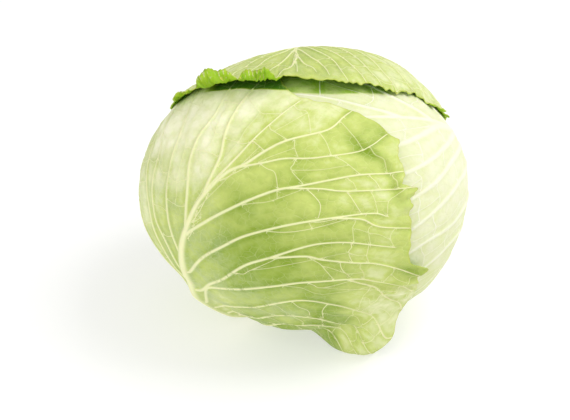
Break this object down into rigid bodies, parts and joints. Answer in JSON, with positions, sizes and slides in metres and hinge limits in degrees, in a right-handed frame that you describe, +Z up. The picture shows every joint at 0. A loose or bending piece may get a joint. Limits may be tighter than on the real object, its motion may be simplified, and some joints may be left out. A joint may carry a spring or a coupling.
{
  "type": "cabbage head",
  "caption": "Flat-headed green cabbage standing on its cut stem, wrapped in large ribbed leaves, the front one with a torn lobe that hangs to the table.",
  "frame": {"origin": "centre of the cut face of the stem, on the surface the head stands on", "axes": "+Z up the stem to the crown, -Y to the front where the torn lobe hangs, +X to the right as seen from the front"},
  "size_m": [0.2197, 0.221, 0.1806],
  "materials": {
    "outer_leaf": "satin, waxy bloom",
    "pale_leaf": "satin, waxy bloom",
    "inner_leaf": "satin",
    "stem": "matte, freshly cut"
  },
  "bodies": {
    "root": {"inner_head": "inner_leaf", "cut_stem": "stem", "back_leaf": "outer_leaf", "front_leaf": "outer_leaf", "right_leaf": "pale_leaf", "back_left_leaf": "pale_leaf", "front_right_leaf": "pale_leaf"}
  },
  "joints": []
}
